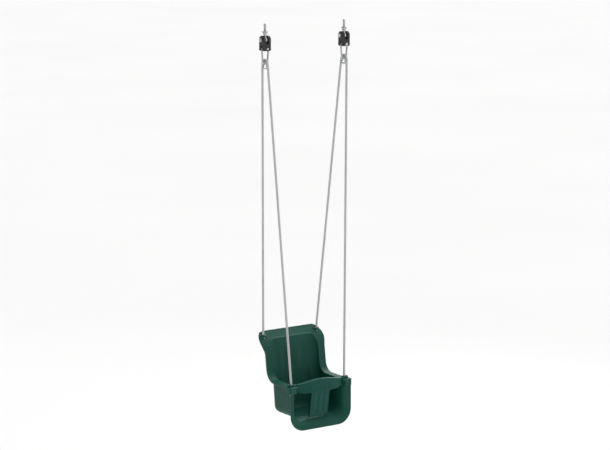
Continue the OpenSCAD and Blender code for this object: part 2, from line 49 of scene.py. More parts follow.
# ---- sizes shared with the CAD, in mm ----
HANGER_X = 205.0
PIVOT_DROP = 38.0
ARM_Z = -1540.0
BUCKET_H = 154.0
WALL = 3.5
HALF_W = 126.0
INNER_W = HALF_W - WALL
LOWER_R = 33.5
REAR_R = 35.0
HEEL_R = 30.0
LIP_Y = -82.0
LIP_R = 45.0
EDGE_Y = LIP_Y - LIP_R
BACK_Y = 89.0
BACK_LEAN = math.radians(6)
RIM_HALF = 156.0
EAR_OUT = 9.0
EAR_H = 28.0
EAR_L = 52.0
MOUTH_HALF = 157.0
FLARE_RISE = 50.0
RIM_T = 4.0
INNER_TOP_R = 30.0
RIM_CORNER = 45.0
FLARE_L = 46.0
FLARE = math.radians(45)
REAR_HOLE = np.array([141.0, 120.0, 178.06])
FRONT_HOLE = np.array([139.5, -101.0, -12.0])
BOSS_H = 12.0
BOSS_R = 13.0
ROPE_D = 10.0
THIMBLE_R = 20.5
THIMBLE_Z = -143.604
FERRULE_L = 24.0
FERRULE_R = 7.5
ROPE_WASHER_T = 2.0

# ---- sizes of the looks alone, in mm ----
# The CAD has sharper corners at the lip's mouth and the ears, and neither the ears' taper nor the
# ball-shaped lower corners.
CORNER_R = 36.0
EAR_CORNER = 9.0
EAR_RISE = 16.0
EAR_EASE = 8.0
MOUTH_CORNER = 66.0

# Half height of a box whose far side is open
OPEN = 300.0


# ---- signed distances: negative inside, in mm ----
def smooth_min(a, b, k):
    """The lesser distance, rounded where the two are within k."""
    h = np.maximum(k - np.abs(a - b), 0) / k
    return np.minimum(a, b) - h * h * k / 4


def smooth_max(a, b, k):
    """The greater distance, rounded where the two are within k."""
    return -smooth_min(-a, -b, k)


def joined(k, *parts):
    """Union of the parts, with fillets about k wide."""
    return reduce(lambda a, b: smooth_min(a, b, k), parts)


def common(k, *parts):
    """Intersection of the parts, with edges rounded over about k."""
    return reduce(lambda a, b: smooth_max(a, b, k), parts)


def polygon(u, v, corners):
    """Distance to a closed outline in one plane."""
    u, v = np.asarray(u, np.float32), np.asarray(v, np.float32)
    nearest, inside = np.inf, False
    for (au, av), (bu, bv) in zip(corners, corners[1:] + corners[:1]):
        eu, ev = bu - au, bv - av
        wu, wv = u - au, v - av
        t = np.clip((wu * eu + wv * ev) / (eu * eu + ev * ev), 0, 1)
        nearest = np.minimum(nearest, (wu - t * eu) ** 2 + (wv - t * ev) ** 2)
        left = eu * wv > ev * wu
        up, down = (v >= av) & (v < bv), (v < av) & (v >= bv)
        inside = inside ^ ((up & left) | (down & ~left))
    return np.where(inside, -1, 1) * np.sqrt(nearest)


def rounded_rect(u, v, half_u, half_v, r):
    qu, qv = np.abs(u) - half_u + r, np.abs(v) - half_v + r
    return np.hypot(np.maximum(qu, 0), np.maximum(qv, 0)) + np.minimum(np.maximum(qu, qv), 0) - r


def slab(u, low, high):
    return np.maximum(low - u, u - high)


def rod(x, y, z, a, b, r):
    """Round-ended rod from a to b."""
    a, e = np.asarray(a, float), np.asarray(b, float) - np.asarray(a, float)
    w = [x - a[0], y - a[1], z - a[2]]
    t = np.clip(sum(wi * ei for wi, ei in zip(w, e)) / (e @ e), 0, 1)
    return np.sqrt(sum((wi - t * ei) ** 2 for wi, ei in zip(w, e))) - r


def upright(x, y, z, at, r, low, high, k=1.0):
    """Vertical cylinder about the point at, from z = low to z = high."""
    return common(k, np.hypot(x - at[0], y - at[1]) - r, slab(z, low, high) + 0 * x)


# ---- meshes from distances ----
CORNERS = np.array([(i, j, k) for i in (0, 1) for j in (0, 1) for k in (0, 1)])
CELL_EDGES = [(a, b) for a in range(8) for b in range(a + 1, 8)
              if np.abs(CORNERS[a] - CORNERS[b]).sum() == 1]


def carve(solid, low, high, step):
    """Closed quad mesh (points in mm, faces) of the solid's zero surface."""
    axes = [np.arange(a - 2 * step, b + 2.5 * step, step, dtype=np.float32) for a, b in zip(low, high)]
    shape = tuple(len(a) for a in axes)
    field = solid(axes[0][:, None, None], axes[1][None, :, None], axes[2][None, None, :])
    field = np.broadcast_to(field, shape)
    inside = field < 0
    filled = sum(inside[i:shape[0] - 1 + i, j:shape[1] - 1 + j, k:shape[2] - 1 + k].astype(np.int8)
                 for i, j, k in CORNERS)
    mixed = (filled > 0) & (filled < 8)
    cells = np.argwhere(mixed)
    number = np.full(mixed.shape, -1, np.int64)
    number[mixed] = np.arange(len(cells))
    values = np.stack([field[tuple((cells + c).T)] for c in CORNERS], axis=1)
    total, count = np.zeros((len(cells), 3)), np.zeros(len(cells))
    for a, b in CELL_EDGES:
        crossing = (values[:, a] < 0) != (values[:, b] < 0)
        span = np.where(crossing, values[:, a] - values[:, b], 1)
        t = np.where(crossing, values[:, a] / span, 0)[:, None]
        total += crossing[:, None] * (CORNERS[a] + t * (CORNERS[b] - CORNERS[a]))
        count += crossing
    origin = np.array([a[0] for a in axes])
    points = origin + step * (cells + total / count[:, None])
    faces = []
    for axis in range(3):
        size = shape[axis]
        starts = np.take(inside, range(size - 1), axis)
        edges = np.argwhere(starts != np.take(inside, range(1, size), axis))
        du, dv = np.eye(3, dtype=int)[(axis + 1) % 3], np.eye(3, dtype=int)[(axis + 2) % 3]
        quads = np.stack([number[tuple((edges - d).T)] for d in (du + dv, dv, 0 * du, du)], axis=1)
        outward = starts[tuple(edges.T)]
        faces.append(np.where(outward[:, None], quads, quads[:, ::-1]))
    return settle(solid, points, step), np.concatenate(faces)


def settle(solid, points, step, rounds=3):
    """Moves mesh points onto the solid's true surface."""
    reach = 0.2 * step
    for _ in range(rounds):
        slope = np.stack([
            (solid(*(points + reach * d).T) - solid(*(points - reach * d).T)) / (2 * reach)
            for d in np.eye(3)], axis=1)
        move = solid(*points.T)[:, None] * slope / np.maximum((slope ** 2).sum(1), 0.05)[:, None]
        length = np.linalg.norm(move, axis=1, keepdims=True)
        points = points - move * np.minimum(1, 0.5 * step / np.maximum(length, 1e-9))
    return points


def sweep(path, radius, across):
    """Closed tube: radius holds a value per path point and side; across never points along the path."""
    count, sides = radius.shape
    ahead = np.gradient(path, axis=0)
    ahead /= np.linalg.norm(ahead, axis=1, keepdims=True)
    side = np.cross(ahead, across)
    side /= np.linalg.norm(side, axis=1, keepdims=True)
    third = np.cross(ahead, side)
    turn = 2 * math.pi * np.arange(sides) / sides
    ring = (np.cos(turn)[None, :, None] * side[:, None] + np.sin(turn)[None, :, None] * third[:, None])
    points = (path[:, None] + radius[:, :, None] * ring).reshape(-1, 3)
    i, k = np.meshgrid(np.arange(count - 1) * sides, np.arange(sides), indexing="ij")
    after = (k + 1) % sides
    faces = np.stack([i + k, i + after, i + sides + after, i + sides + k], axis=2).reshape(-1, 4)
    n, end, k, after = len(points), (count - 1) * sides, np.arange(sides), (np.arange(sides) + 1) % sides
    first = np.stack([0 * k + n, after, k, k], axis=1)
    last = np.stack([0 * k + n + 1, end + k, end + after, end + after], axis=1)
    return np.vstack([points, path[[0, -1]]]), np.vstack([faces, first, last])


def lathe(profile, segments=48):
    """Closed ring or solid turned about +Z from an outline of (radius, height)."""
    turns = np.arange(segments) * 2 * math.pi / segments
    outline = np.array(profile, float)
    points = np.stack([np.outer(np.cos(turns), outline[:, 0]), np.outer(np.sin(turns), outline[:, 0]),
                       np.tile(outline[:, 1], (segments, 1))], axis=2).reshape(-1, 3)
    n = len(outline)
    faces = [(i * n + j, (i + 1) % segments * n + j, (i + 1) % segments * n + (j + 1) % n,
              i * n + (j + 1) % n) for i in range(segments) for j in range(n)]
    return points, np.array(faces)


def eased(corners, r, steps=4):
    """The outline with each corner rounded to radius r."""
    out = []
    for before, at, after in zip(corners[-1:] + corners[:-1], corners, corners[1:] + corners[:1]):
        at = np.array(at, float)
        u, w = np.array(before) - at, np.array(after) - at
        u, w = u / np.linalg.norm(u), w / np.linalg.norm(w)
        half = math.acos(float(np.clip(u @ w, -1, 1))) / 2
        cut = r / math.tan(half)
        middle = at + (u + w) / np.linalg.norm(u + w) * r / math.sin(half)
        a, b = at + cut * u - middle, at + cut * w - middle
        for i in range(steps + 1):
            d = a + (b - a) * i / steps
            out.append(tuple(middle + d / np.linalg.norm(d) * r))
    return out


def moved(mesh, matrix=None, shift=(0, 0, 0)):
    """The mesh turned by a 3 x 3 matrix and shifted; a mirror keeps its faces outward."""
    points, faces = mesh
    matrix = np.eye(3) if matrix is None else np.array(matrix, float)
    faces = faces[:, ::-1] if np.linalg.det(matrix) < 0 else faces
    return points @ matrix.T + np.array(shift, float), faces


def merged(*meshes):
    points, faces, start = [], [], 0
    for p, f in meshes:
        points.append(p)
        faces.append(np.asarray(f) + start)
        start += len(p)
    return np.concatenate(points), np.concatenate(faces)


MIRROR_X = np.diag([-1, 1, 1])


def piece(name, mesh, material, body, replaces=(), keep=1.0):
    """Makes a Blender object of a mesh in mm, thinned to the share keep of its faces."""
    points, faces = mesh
    data = bpy.data.meshes.new(name)
    data.from_pydata((points * MM).tolist(), [], [list(dict.fromkeys(f)) for f in faces.tolist()])
    data.polygons.foreach_set("use_smooth", [True] * len(data.polygons))
    data.validate()
    made = bpy.data.objects.new(name, data)
    bpy.context.scene.collection.objects.link(made)
    if keep < 1:
        thin = made.modifiers.new("thin", "DECIMATE")
        thin.ratio = keep
        seen = made.evaluated_get(bpy.context.evaluated_depsgraph_get())
        made.data = bpy.data.meshes.new_from_object(seen)
        made.modifiers.clear()
    made.data.materials.clear()
    made.data.materials.append(material)
    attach(made, body)
    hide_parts(*replaces)
    return made


# ---- materials ----
def finish_material(name, colour, other, roughness, detail, grain, bump, metallic=0.0, **shader):
    """Procedural material: colour mottled towards other, grain and bump at the stated scales."""
    made = bpy.data.materials.new(name)
    made.use_nodes = True
    nodes, links = made.node_tree.nodes, made.node_tree.links
    surface = nodes["Principled BSDF"]
    surface.inputs["Metallic"].default_value = metallic
    for key, value in shader.items():
        surface.inputs[key.replace("_", " ")].default_value = value
    place = nodes.new("ShaderNodeTexCoord").outputs["Object"]

    def noise(scale, octaves):
        made_noise = nodes.new("ShaderNodeTexNoise")
        made_noise.inputs["Scale"].default_value = scale
        made_noise.inputs["Detail"].default_value = octaves
        links.new(place, made_noise.inputs["Vector"])
        return made_noise.outputs["Fac"]

    ramp = nodes.new("ShaderNodeValToRGB")
    ramp.color_ramp.elements[0].position, ramp.color_ramp.elements[1].position = 0.3, 0.7
    ramp.color_ramp.elements[0].color = (*colour, 1)
    ramp.color_ramp.elements[1].color = (*other, 1)
    links.new(noise(detail, 4), ramp.inputs["Fac"])
    links.new(ramp.outputs["Color"], surface.inputs["Base Color"])
    rough = nodes.new("ShaderNodeMapRange")
    rough.inputs["To Min"].default_value, rough.inputs["To Max"].default_value = roughness
    links.new(noise(detail * 2.3, 3), rough.inputs["Value"])
    links.new(rough.outputs["Result"], surface.inputs["Roughness"])
    relief = nodes.new("ShaderNodeBump")
    relief.inputs["Strength"].default_value = 1.0
    relief.inputs["Distance"].default_value = bump
    links.new(noise(grain, 2), relief.inputs["Height"])
    links.new(relief.outputs["Normal"], surface.inputs["Normal"])
    return made, nodes, links, surface, ramp


def worn_edges(parts, pale):
    """Lets the colour run towards pale on the outermost edges."""
    made, nodes, links, surface, ramp = parts
    edge = nodes.new("ShaderNodeMapRange")
    edge.inputs["From Min"].default_value, edge.inputs["From Max"].default_value = 0.52, 0.62
    edge.inputs["To Max"].default_value = 0.5
    links.new(nodes.new("ShaderNodeNewGeometry").outputs["Pointiness"], edge.inputs["Value"])
    mix = nodes.new("ShaderNodeMixRGB")
    mix.inputs["Color2"].default_value = (*pale, 1)
    links.new(edge.outputs["Result"], mix.inputs["Fac"])
    links.new(ramp.outputs["Color"], mix.inputs["Color1"])
    links.new(mix.outputs["Color"], surface.inputs["Base Color"])
    return made


seat_green = worn_edges(finish_material(
    "seat_green", (0.0040, 0.066, 0.046), (0.0058, 0.080, 0.057), (0.42, 0.54), 9, 900, 0.00012,
    Specular_IOR_Level=0.22), (0.03, 0.13, 0.10))
guard_green = worn_edges(finish_material(
    "guard_green", (0.0040, 0.064, 0.047), (0.0056, 0.077, 0.058), (0.30, 0.42), 11, 900, 0.00012,
    Specular_IOR_Level=0.14), (0.03, 0.13, 0.10))
zinc = worn_edges(finish_material(
    "zinc_steel", (0.50, 0.51, 0.52), (0.60, 0.61, 0.62), (0.30, 0.46), 120, 1500, 0.00003,
    metallic=1.0), (0.75, 0.75, 0.76))
stainless = worn_edges(finish_material(
    "carabiner_steel", (0.42, 0.43, 0.43), (0.50, 0.51, 0.51), (0.24, 0.38), 90, 1200, 0.00003,
    metallic=1.0), (0.68, 0.68, 0.69))
yoke_black = worn_edges(finish_material(
    "yoke_black", (0.010, 0.010, 0.011), (0.017, 0.017, 0.018), (0.40, 0.55), 60, 1100, 0.00016,
    Specular_IOR_Level=0.5), (0.07, 0.07, 0.07))
nylon = worn_edges(finish_material(
    "bush_nylon", (0.62, 0.61, 0.57), (0.70, 0.69, 0.65), (0.35, 0.5), 80, 900, 0.00005),
    (0.8, 0.8, 0.77))
eyelet_black = worn_edges(finish_material(
    "eyelet_black", (0.018, 0.020, 0.021), (0.030, 0.032, 0.033), (0.35, 0.5), 90, 1000, 0.00006),
    (0.09, 0.09, 0.09))
alloy = worn_edges(finish_material(
    "ferrule_alu", (0.48, 0.49, 0.50), (0.58, 0.59, 0.60), (0.34, 0.5), 140, 900, 0.00006,
    metallic=1.0), (0.75, 0.75, 0.76))
rope_grey = finish_material(
    "rope_grey", (0.46, 0.47, 0.47), (0.57, 0.58, 0.58), (0.62, 0.8), 260, 2600, 0.00035,
    Sheen_Weight=0.25, Sheen_Roughness=0.5)[0]


# ---- seat ----
def arc(centre, r, start, end, steps=12):
    """Points on an arc between two angles in radians."""
    return [(centre[0] + r * math.cos(start + (end - start) * i / steps),
             centre[1] + r * math.sin(start + (end - start) * i / steps)) for i in range(steps + 1)]


def step_from(point, distance, angle):
    """A point at a distance along a line that leans back by angle from the vertical."""
    return (point[0] + distance * math.sin(angle), point[1] + distance * math.cos(angle))


WING_FOOT_C = (14.0, 50.0)
WING_FOOT_R = 50.0
WING_LEAN = math.radians(8)
WING_L = 57.5
FLARE_R = 125.0
WING_FOOT = (WING_FOOT_C[0] + WING_FOOT_R * math.cos(WING_LEAN),
             WING_FOOT_C[1] - WING_FOOT_R * math.sin(WING_LEAN))
WING_HEAD = step_from(WING_FOOT, WING_L, WING_LEAN)
FLARE_C = (WING_HEAD[0] + FLARE_R * math.cos(WING_LEAN), WING_HEAD[1] - FLARE_R * math.sin(WING_LEAN))
FLARE_FOOT = (FLARE_C[0] - FLARE_R * math.cos(FLARE), FLARE_C[1] + FLARE_R * math.sin(FLARE))
FLARE_END = step_from(FLARE_FOOT, FLARE_L, FLARE)
RIM_TOP, PANEL_TOP = FLARE_END[1], FLARE_FOOT[1]


def rim_line(t):
    """Side view of the rim sheet, t below its upper face."""
    return ([(EDGE_Y, -t)]
            + arc(WING_FOOT_C, WING_FOOT_R + t, -math.pi / 2, -WING_LEAN, 14)
            + arc(FLARE_C, FLARE_R - t, math.pi - WING_LEAN, math.pi - FLARE, 10)
            + [(FLARE_END[0] + t * math.cos(FLARE), FLARE_END[1] - t * math.sin(FLARE))])


def body_side(inset):
    """Side view of the bucket and backrest, drawn in by inset."""
    slope, floor = math.tan(BACK_LEAN), -BUCKET_H + inset
    back = BACK_Y + (WALL - inset) / math.cos(BACK_LEAN)
    corner = HEEL_R - inset
    centre = (back + slope * (floor + corner) - corner, floor + corner)
    return floor, back, slope, arc(centre, corner, -math.pi / 2, -BACK_LEAN, 10)


def outer_side():
    """Closed side view of the outer face of bucket and backrest."""
    floor, back, slope, heel = body_side(0)
    rim = [p for p in rim_line(0)
           if p[1] < PANEL_TOP + 0.1 and LIP_Y < p[0] < back + slope * p[1] - 1]
    return [(LIP_Y, floor)] + heel + [(back + slope * PANEL_TOP, PANEL_TOP)] + rim[::-1] + [(LIP_Y, 0)]


def hollow_side():
    """Closed side view of the room inside, open at the front and top."""
    floor, back, slope, heel = body_side(WALL)
    far = 400
    return [(-far, floor)] + heel + [(back + slope * far, far), (-far, far)]


def walls(x, z, inset, top, top_r):
    """Front view of the bucket: distance from its side walls, floor and rounded shoulders."""
    half, r = HALF_W - inset, LOWER_R - inset
    floor = -BUCKET_H + inset
    low = rounded_rect(x, z - (floor + OPEN), half, OPEN, r)
    high = rounded_rect(x, z - (top - OPEN), half, OPEN, top_r)
    return np.maximum(low, high)


def plan(x, y, z, inset):
    """Plan of the bucket's rear corners, square to the leaning backrest."""
    depth = (y - BACK_Y) * math.cos(BACK_LEAN) - z * math.sin(BACK_LEAN)
    return rounded_rect(x, depth + OPEN - (WALL - inset), HALF_W - inset, OPEN, REAR_R - inset)


FLUTE_PITCH = 46.0
FLUTE_DEPTH = 3.2
FLUTE_HALF = 92.0
FLUTE_LOW = -70.0
FLUTE_HIGH = 138.0


def fluting(x, z):
    """How far the back panel's broad upright flutes stand back at each place."""
    fade = np.clip((FLUTE_HALF - np.abs(x)) / 14, 0, 1) * np.clip((z - FLUTE_LOW) / 40, 0, 1)
    fade = fade * np.clip((FLUTE_HIGH - z) / 18, 0, 1)
    return FLUTE_DEPTH * fade * (0.5 + 0.5 * np.cos(2 * math.pi * x / FLUTE_PITCH))


RIM_SKIRT = 11.0
SKIRT_T = 3.2
LIP_BEAD = 3.0
HEADREST_Z = 146.0
HEADREST_DEPTH = 2.6
HEADREST_FOOT = 20.0
HEADREST_FADE = 30.0
HEADREST_MARGIN = 6.0
# Widths over which the moulding's faces run into each other
OUTER_BLEND = 6
INNER_BLEND = 5
RIM_FILLET = 5
MOUTH_EDGE = 2.2
LIP_FILLET = 3.5
BOSS_FILLET = 4
BORE_EDGE = 0.6
# Stepped bore for a rope's liner and washer: radius, and its reach from the foot of the boss
LINER_BORE = (8.45, -30, 30)
WASHER_BORE = (9.3, -30, 0)
FLANGE_BORE = (11.2, BOSS_H - 1.5, 40)


def ease(t):
    """0 to 1, slow at both ends."""
    t = np.clip(t, 0, 1)
    return t * t * (3 - 2 * t)


def rim_sheet(x, y, z):
    """The flange round armrests and backrest, with its edge turned down."""
    out = EAR_OUT * ease((z - RIM_TOP + RIM_CORNER + FLARE_RISE) / FLARE_RISE)
    half = rounded_rect(np.abs(x) - out, z - (RIM_TOP - OPEN), RIM_HALF, OPEN, RIM_CORNER)
    sheet = polygon(y, z, rim_line(0) + rim_line(RIM_T)[::-1])
    deep = polygon(y, z, rim_line(0) + rim_line(RIM_SKIRT)[::-1])
    skirt = common(1.2, deep, half, -(half + SKIRT_T))
    return joined(2.5, common(2.0, sheet, half), skirt)


def ears(x, y, z):
    """The wider, deeper end of each armrest, round the front rope's boss."""
    side, middle = np.abs(x), (INNER_W + RIM_HALF + EAR_OUT) / 2
    plan_view = rounded_rect(side - middle, y - EDGE_Y - EAR_L / 2, middle - INNER_W, EAR_L / 2, EAR_CORNER)
    top = common(1.5, plan_view, slab(z, -RIM_T, 0))
    depth = EAR_H - EAR_RISE * ease((y - EDGE_Y - EAR_EASE) / (EAR_L - 2 * EAR_EASE))
    edge = common(1.0, plan_view, -(plan_view + SKIRT_T), slab(z, -depth, 0), HALF_W + 4 - side)
    return joined(2.0, top, edge)


def front_lip(x, y, z):
    """The trumpet-shaped lip round the leg opening, with a bead along its edge."""
    out = rounded_rect(x, z - (-BUCKET_H + WALL + OPEN), INNER_W, OPEN, LOWER_R - WALL)
    ring = np.abs(np.hypot(out - LIP_R, y - LIP_Y) - (LIP_R - WALL / 2)) - WALL / 2
    lip = common(0.8, ring, out - LIP_R, y - LIP_Y - 1)
    mouth = rounded_rect(x, z - (-BUCKET_H + WALL - LIP_R + OPEN), MOUTH_HALF, OPEN, MOUTH_CORNER)
    bead_zone = 3 * LIP_BEAD
    bead = np.hypot(mouth + LIP_BEAD / 2, np.where(mouth > -bead_zone, ring, bead_zone)) - LIP_BEAD
    return common(0.8, joined(3.0, common(1.0, lip, mouth), bead), z + 0.5, y - LIP_Y)


def tub_corner(x, y, z, inset):
    """Box of side walls, leaning back and floor with ball-shaped corners."""
    r = CORNER_R - inset
    depth = (y - BACK_Y) * math.cos(BACK_LEAN) - z * math.sin(BACK_LEAN) - WALL + inset
    planes = [np.abs(x) - HALF_W + inset + r, depth + r, -z - BUCKET_H + inset + r]
    biggest = reduce(np.maximum, planes)
    return np.sqrt(sum(np.maximum(p, 0) ** 2 for p in planes)) + np.minimum(biggest, 0) - r


def seat_solid(x, y, z):
    """The whole seat moulding, z = 0 at the top of the armrests."""
    y_flat = y - fluting(x, z)
    outer = common(OUTER_BLEND, polygon(y_flat, z, OUTER_SIDE),
                   walls(x, z, 0, PANEL_TOP + WALL, INNER_TOP_R + WALL),
                   plan(x, y_flat, z, 0), tub_corner(x, y_flat, z, 0))
    recess = HEADREST_DEPTH * np.clip((HEADREST_Z - z) / 5, 0, 1)
    recess = recess * np.clip((z - HEADREST_FOOT) / HEADREST_FADE, 0, 1)
    panel = np.abs(x) < FLUTE_HALF + HEADREST_MARGIN
    hollow = common(INNER_BLEND, polygon(y_flat - recess * panel, z, HOLLOW_SIDE),
                    walls(x, z, WALL, PANEL_TOP, INNER_TOP_R), plan(x, y_flat, z, WALL),
                    tub_corner(x, y_flat, z, WALL))
    shell = joined(RIM_FILLET, outer, rim_sheet(x, y, z), ears(x, y, z))
    shell = common(MOUTH_EDGE, joined(LIP_FILLET, shell, front_lip(x, y, z)), -hollow)
    side = np.abs(x)
    for hole in (REAR_HOLE, FRONT_HOLE):
        boss = upright(side, y, z, hole, BOSS_R, hole[2], hole[2] + BOSS_H, 2)
        shell = joined(BOSS_FILLET, shell, boss)
    for hole in (REAR_HOLE, FRONT_HOLE):
        for r, low, high in (LINER_BORE, WASHER_BORE, FLANGE_BORE):
            bore = upright(side, y, z, hole, r, hole[2] + low, hole[2] + high)
            shell = common(BORE_EDGE, shell, -bore)
    return shell


OUTER_SIDE = outer_side()
HOLLOW_SIDE = hollow_side()


def on_beam(mesh):
    """Takes a shape drawn from the top of the armrests to its height below the beam."""
    return moved(mesh, shift=(0, 0, ARM_Z))


seat_mesh = carve(seat_solid, (-168, -130, -198), (168, 146, 206), 2.0)
piece("seat", on_beam(seat_mesh), seat_green, "swing", ["seat_shell"], keep=0.45)

# ---- guard ----
GUARD_DROP = 33.0
GUARD_RISE = 16.0
GUARD_DEEP = 24.0
GUARD_T = 5.5
GUARD_BOW = 20.0
GUARD_GAP = 0.3
EYE_H = 10.0
EYE_R = 12.0
EYE_SLOT_R = 6.3
EYE_RUN = 7.4
BAR_HALF = FRONT_HOLE[0] - 4
BAR_FRONT = FRONT_HOLE[1] - 8 - GUARD_BOW
BAR_CIRCLE = (BAR_HALF ** 2 + GUARD_BOW ** 2) / (2 * GUARD_BOW)
BAR_REACH = INNER_W - 2.2
POST_HALF = 47.0
POST_TOP_Y = BAR_FRONT + 1
POST_TOP_Z = -4.0
POST_FOOT = (-99.0, -149.0)
POST_FLARE = 5.0
POST_FLANK = 13.0
FLANK_T = 4.0
RIBS = 3
POST_RIB_H = 2.6
BAR_END_TOP = GUARD_GAP + 0.6 * EYE_H
BAR_END_LIFT = 9.0
BAR_STRAIGHT = 0.6 * BAR_HALF
ROLL_DEEP = 11.0
ROLL_H = 4.5


def guard_solid(x, y, z):
    """Cross bar, crotch post and rope eyes of the guard, z = 0 at the top of the armrests."""
    side = np.abs(x)
    behind = BAR_CIRCLE - np.hypot(x, y - BAR_FRONT - BAR_CIRCLE)
    crest = BAR_END_TOP + GUARD_RISE * np.cos(np.clip(side / BAR_HALF, 0, 1) * math.pi / 2) ** 2
    bottom = -GUARD_DROP + BAR_END_LIFT * ease((side - BAR_STRAIGHT) / (BAR_REACH - BAR_STRAIGHT))
    front = common(3, slab(behind, 0, GUARD_T), z - crest, bottom - z, side - BAR_REACH)
    over_arm = common(2, slab(behind, 0, GUARD_T), z - crest, GUARD_GAP - z, side - BAR_HALF)
    top = common(3, slab(behind, 0, GUARD_DEEP), slab(z, crest - GUARD_T, crest), side - BAR_HALF)
    # the lower edge of the bar's face is rolled back
    roll = common(2, slab(behind, 0, ROLL_DEEP), slab(z, bottom, bottom + ROLL_H), side - BAR_REACH + 4)
    post = joined(3, *post_plates(side, y, z))
    eye_x = np.maximum(np.abs(side - EYE_AT[0] - EYE_RUN / 2) - EYE_RUN / 2, 0)
    eye_off = np.hypot(eye_x, y - EYE_AT[1])
    eye = common(1.2, eye_off - EYE_R, slab(z, GUARD_GAP, GUARD_GAP + EYE_H))
    body = joined(3, joined(4, front, top, over_arm, roll, post), eye)
    return common(1.0, body, -common(0.5, eye_off - EYE_SLOT_R, -z - 2))


def post_plates(side, y, z):
    """The ribbed face of the crotch post and the flank behind each of its edges."""
    lean = (POST_FOOT[0] - GUARD_T - POST_TOP_Y) / (POST_FOOT[1] - POST_TOP_Z)
    face = y - POST_TOP_Y - lean * (z - POST_TOP_Z)
    ribs = POST_RIB_H * np.cos(np.clip(side / POST_HALF, 0, 1) * RIBS * math.pi) * ease((-z - 30) / 20)
    ribs = ribs * ease((z + 142) / 14) * ease((POST_HALF - side) / 12)
    half = POST_HALF + POST_FLARE * ease((z + 45) / 25)
    plate = common(3, slab(face + ribs * 0.5, 0, GUARD_T), slab(z, POST_FOOT[1], POST_TOP_Z), side - half)
    flank = common(1.5, slab(face, 0, POST_FLANK), slab(z, POST_FOOT[1] + 3, -10),
                   slab(side, half - FLANK_T, half))
    return plate, flank


# ---- ropes ----
def leaning(p, angle):
    """A point tipped about the Y axis."""
    return np.array([p[0] * math.cos(angle) + p[2] * math.sin(angle), p[1],
                     p[2] * math.cos(angle) - p[0] * math.sin(angle)])


SEAT_TOP = np.array([0, 0, ARM_Z])
LEAN_IN = math.atan((HANGER_X - FRONT_HOLE[0]) / (-ARM_Z + THIMBLE_Z))
THIMBLE = np.array([HANGER_X, 0, THIMBLE_Z])


def leave(hole):
    """Angle from the vertical at which a strand leaves the thimble for its hole."""
    d = (abs(hole[1]), THIMBLE_Z - ARM_Z - hole[2])
    return math.atan(d[0] / d[1]) - math.asin(THIMBLE_R / math.hypot(*d))


def rope_route():
    """Points along a rope, from below the rear hole over the thimble to below the front hole."""
    first, last = leave(REAR_HOLE), math.pi - leave(FRONT_HOLE)
    tail = np.array([0, 0, ROPE_WASHER_T + FERRULE_L])
    bend = [THIMBLE + THIMBLE_R * leaning((0, math.cos(a), math.sin(a)), LEAN_IN)
            for a in np.linspace(first, last, 33)]
    rear, front = REAR_HOLE + SEAT_TOP, FRONT_HOLE + SEAT_TOP
    return np.array([rear - tail, rear] + bend + [front, front - tail])


def resampled(route, spacing):
    """The route at even steps, and how far along it each step is."""
    lengths = np.concatenate([[0], np.cumsum(np.linalg.norm(np.diff(route, axis=0), axis=1))])
    count = int(lengths[-1] / spacing)
    at = np.linspace(0, lengths[-1], count + 1)
    return np.stack([np.interp(at, lengths, route[:, i]) for i in range(3)], axis=1), at


STRANDS = 6
SIDES = 24
BRAID_L = 6.4
BRAID_H = 0.42


def braid(around, along):
    """Height of a two-over braid: around is in turns, along in mm."""
    u = around * STRANDS + along / (2 * BRAID_L)
    v = around * STRANDS - along / (2 * BRAID_L)
    over = (np.floor(u) + np.floor(v)) % 2 == 0
    across, length = np.where(over, u % 1, v % 1), np.where(over, v % 1, u % 1)
    crown = 0.55 + 0.45 * np.sin(math.pi * length)
    return BRAID_H * (np.sqrt(np.sin(math.pi * across)) * crown - 0.6)


def rope(name, node, flip):
    """One braided rope."""
    route = rope_route()
    path, at = resampled(route, BRAID_L / 4)
    radius = ROPE_D / 2 - 0.15 + braid(np.arange(SIDES)[None, :] / SIDES, at[:, None])
    radius[[0, -1]] *= 0.7
    turn = MIRROR_X if flip else np.eye(3)
    mesh = moved(sweep(path, radius, leaning((1, 0, 0), LEAN_IN)), turn)
    made = piece(name, mesh, rope_grey, "swing", [node])
    path = route @ turn.T * MM


def guard_eye_place():
    """Where the rope's front strand crosses the middle of the guard's eye."""
    angle = leave(FRONT_HOLE)
    strand = THIMBLE + THIMBLE_R * leaning((0, -math.cos(angle), math.sin(angle)), LEAN_IN)
    strand = strand - FRONT_HOLE - SEAT_TOP
    return FRONT_HOLE + (BOSS_H + EYE_H / 2) * strand / strand[2]


EYE_AT = guard_eye_place()


guard_mesh = carve(guard_solid, (-162, -131, -151), (162, -84, 24), 1.75)
piece("guard", on_beam(guard_mesh), guard_green, "guard", ["guard_bar"], keep=0.45)

rope("rope_l", "rope_left", True)
rope("rope_r", "rope_right", False)


# ---- hangers ----
RUNNING = 0.05
STUD_R = 6.0
STUD_L = 32.0
STUD_THREAD_END = -17.0
THREAD_PITCH = 1.75
THREAD_H = 0.75
EYE_OUT_R = 12.0
EYE_W = 12.0
BOLT_R = 5.0
BUSH_R = 7.05
BUSH_W = 13.0
WASHER_R = 15.0
WASHER_T = 2.5
NUT_FLAT = 9.5
NUT_H = 10.0
NUT_FLANGE_R = 13.0
NUT_FLANGE_T = 2.5
YOKE_HALF = 19.0
YOKE_BOTTOM = -84.7
UPPER_SLOT = 7.0
UPPER_SLOT_Z = -54.0
LOWER_SLOT = 5.0
LOWER_SLOT_Z = -62.0
CHEEK_FLOOR = 17.6
FACE_FLOOR = 17.8
PANEL_HALF = 14.5
BOLT_LAND_R = 11.5
PIN_LAND_R = 9.5
BOLT_FLAT = 8.0
BOLT_HEAD_H = 6.0
BOLT_NUT_H = 8.0
BOLT_TAIL = 2.0
PIN_Z = -75.2
PIN_R = 4.0
PIN_HEAD_R = 6.5
